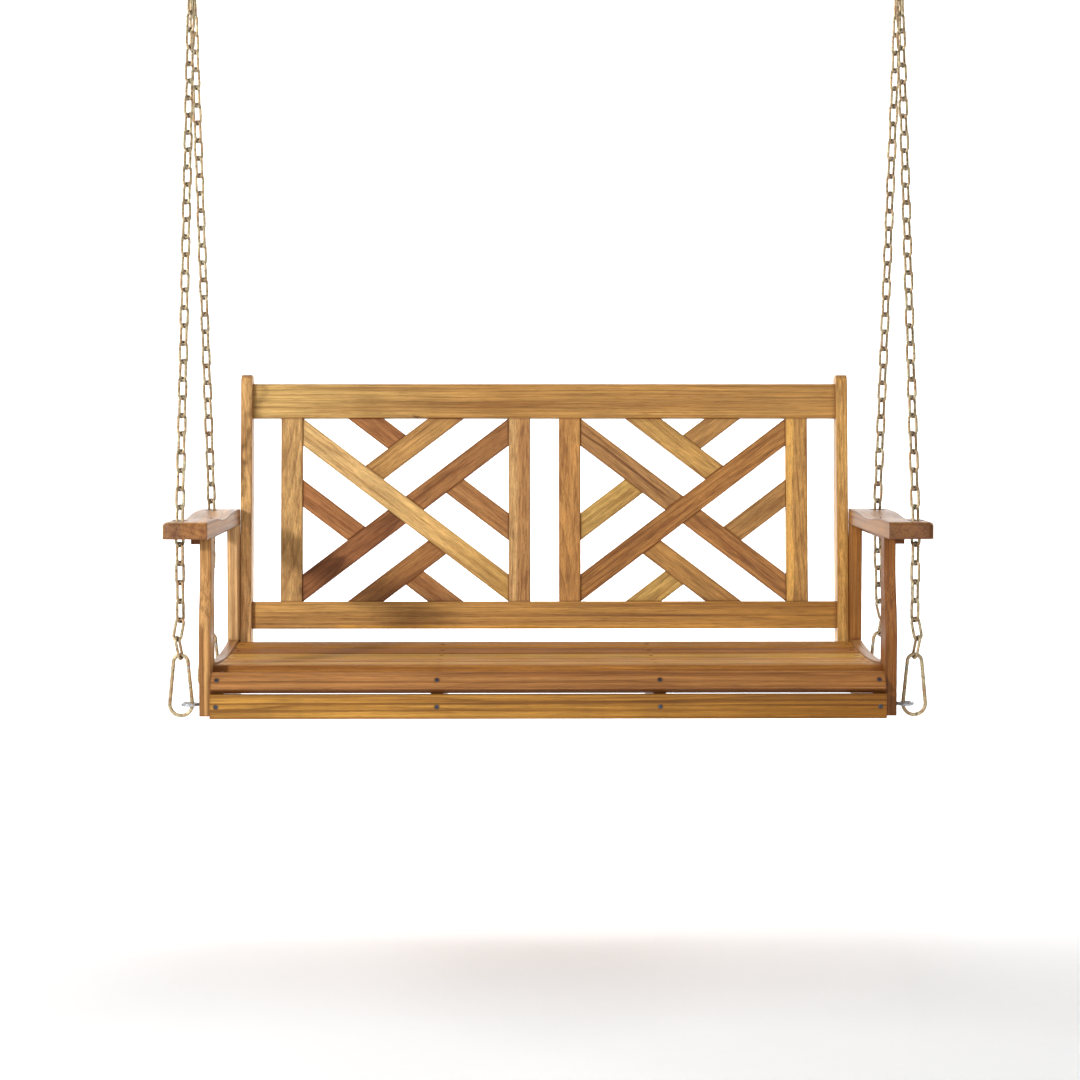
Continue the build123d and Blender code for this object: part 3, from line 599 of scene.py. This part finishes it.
# what plated() is told for each of the record's metal slots
METALS = {
    "yellow_zinc": ((198, 182, 144), (174, 138, 98), (140, 134, 98), (66, 42, 26), 0.24),
    "bright_zinc": ((206, 208, 210), (156, 160, 166), (178, 180, 178), (66, 66, 68), 0.18),
    "dark_steel": ((96, 98, 104), (72, 72, 78), (110, 116, 130), (50, 46, 44), 0.28),
}
plating = {slot: plated(slot, *look) for slot, look in METALS.items()}
for part in frame["record"]["subparts"]:
    if part["material_slot"] in plating:
        give(part["node"], plating[part["material_slot"]])


# ---- camera, light and floor ----

# metres from BENCH, then degrees, then millimetres
CAMERA_FROM_BENCH = Vector((-0.062, -4.0704, 0.535))
CAMERA_PITCH = 3.352
CAMERA_YAW = 0.67
CAMERA_LENS = 82.53

camera = bpy.data.objects.new("camera", bpy.data.cameras.new("camera"))
bpy.context.scene.collection.objects.link(camera)
camera.location = BENCH + CAMERA_FROM_BENCH
camera.rotation_euler = (math.radians(90 - CAMERA_PITCH), 0, math.radians(-CAMERA_YAW))
camera.data.lens = CAMERA_LENS
camera.data.sensor_width = 36
camera.data.clip_end = 100
bpy.context.scene.camera = camera


def soft_box(name, place, target, size, power):
    """A square area light that faces a target. Both places are from BENCH."""
    light = bpy.data.lights.new(name, "AREA")
    light.size = size
    light.energy = power
    lamp = bpy.data.objects.new(name, light)
    bpy.context.scene.collection.objects.link(lamp)
    lamp.location = BENCH + Vector(place)
    lamp.rotation_euler = (Vector(target) - Vector(place)).to_track_quat("-Z", "Y").to_euler()


SEAT = (0, 0.25, 0.3)
FLOOR_BEHIND = (0, 4.5, 0.4)
BACKDROP = (0, 7.6, 0.6)
soft_box("key", (-3.2, -3.3, 1.56), SEAT, size=0.36, power=172)
soft_box("front", (0.9, -4.6, 1.6), SEAT, size=2.4, power=60)
soft_box("top", (0, 1.1, 2.9), SEAT, size=1.6, power=16)
for side, way in (("left", -1), ("right", 1)):
    soft_box(f"floor_{side}", (way * 2.8, 1.7, 1.9), FLOOR_BEHIND, size=1.6, power=90)
    soft_box(f"backdrop_{side}", (way * 3.08, 4.3, 2.2), BACKDROP, size=1.6, power=130)

AMBIENT_LIGHT = 0.3
bpy.context.scene.view_settings.view_transform = "Standard"
world = bpy.data.worlds.new("studio")
bpy.context.scene.world = world
world.use_nodes = True
world.node_tree.nodes["Background"].inputs["Color"].default_value = (1, 1, 1, 1)
world.node_tree.nodes["Background"].inputs["Strength"].default_value = AMBIENT_LIGHT

# the paper sheet, in metres from BENCH
FLOOR_DROP = 0.43
FLOOR_FRONT = 9.0
FLOOR_BACK = 7.2
FLOOR_SIDE = 9.0
SWEEP_RADIUS = 1.5
SWEEP_STEPS = 12
SHEET_TOP = 7.0
PAPER_SPECKLE = (40, 40, 40)
PAPER_DARK = (0.93, 0.93, 0.93)
PAPER_LIGHT = (0.95, 0.95, 0.95)
PAPER_ROUGHNESS = 0.9


def studio_floor():
    """A pale sheet that runs back and sweeps up behind the bench."""
    back = BENCH.y + FLOOR_BACK
    floor_z = BENCH.z - FLOOR_DROP
    bend = back - SWEEP_RADIUS
    profile = [(BENCH.y - FLOOR_FRONT, floor_z), (bend, floor_z)]
    for step in range(1, SWEEP_STEPS + 1):
        angle = math.radians(90 * step / SWEEP_STEPS)
        rise = SWEEP_RADIUS * (1 - math.cos(angle))
        profile.append((bend + SWEEP_RADIUS * math.sin(angle), floor_z + rise))
    profile.append((back, floor_z + SHEET_TOP))
    points = [(x, y, z) for x in (-FLOOR_SIDE, FLOOR_SIDE) for y, z in profile]
    count = len(profile)
    faces = [(i, i + 1, count + i + 1, count + i) for i in range(count - 1)]
    mesh = bpy.data.meshes.new("studio_floor")
    mesh.from_pydata(points, [], faces)
    mesh.polygons.foreach_set("use_smooth", [True] * len(faces))
    floor = bpy.data.objects.new("studio_floor", mesh)
    bpy.context.scene.collection.objects.link(floor)
    tree = Tree("pale_paper")
    speckle = tree.noise(tree.place(), PAPER_SPECKLE)
    tree.surface(tree.mix(speckle, PAPER_DARK, PAPER_LIGHT), PAPER_ROUGHNESS)
    mesh.materials.append(tree.material)


studio_floor()
